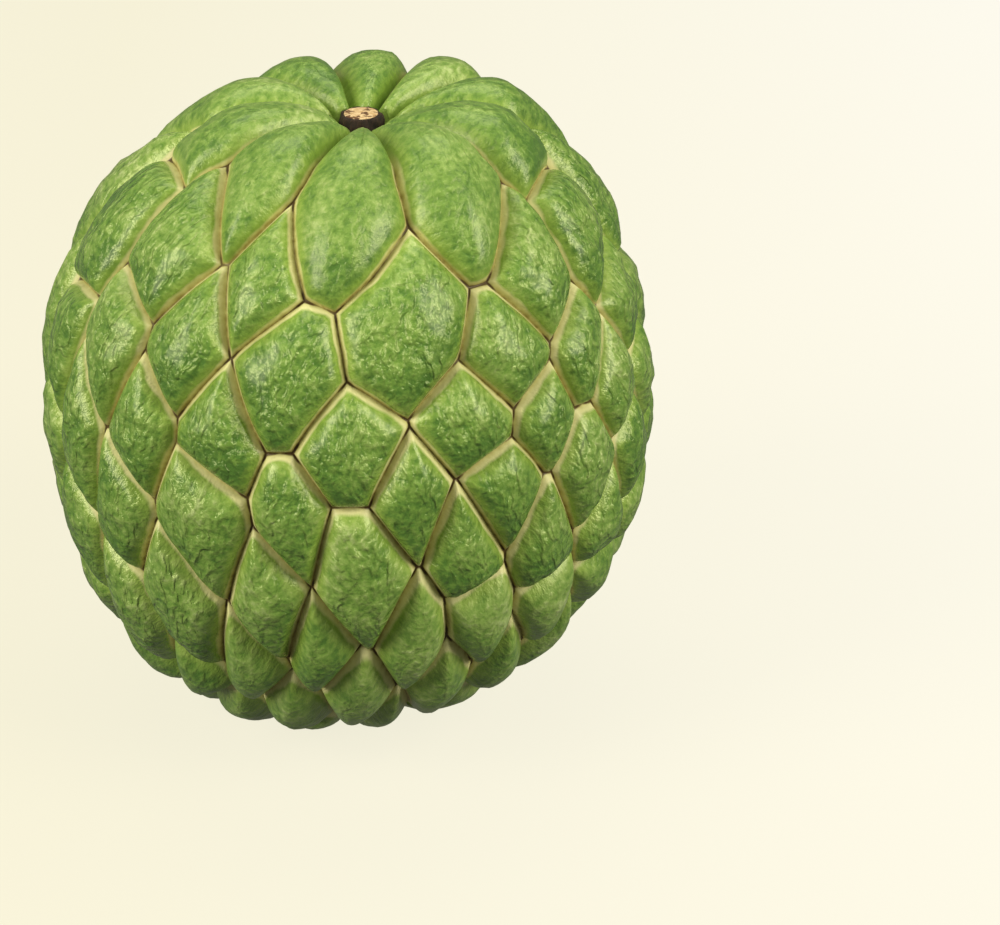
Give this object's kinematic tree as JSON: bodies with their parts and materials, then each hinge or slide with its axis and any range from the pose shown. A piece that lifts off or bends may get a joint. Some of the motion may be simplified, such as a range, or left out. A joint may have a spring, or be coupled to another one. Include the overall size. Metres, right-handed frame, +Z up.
{
  "type": "custard apple",
  "caption": "Whole custard apple: a round green fruit of plump pointed scales, with a cut woody stalk stub in the hollow on top.",
  "frame": {"origin": "under the middle of the fruit, on the surface it stands on", "axes": "+Z up from the blossom end to the stalk, -Y the front, +X to the right seen from the front"},
  "size_m": [0.0968, 0.097, 0.1026],
  "materials": {
    "skin": "waxy green skin, finely wrinkled, with pale cream and brown seams between the scales",
    "stalk_bark": "dry dark bark round a pale cut face"
  },
  "bodies": {
    "root": {"fruit": "skin", "stem_stub": "stalk_bark"}
  },
  "joints": []
}
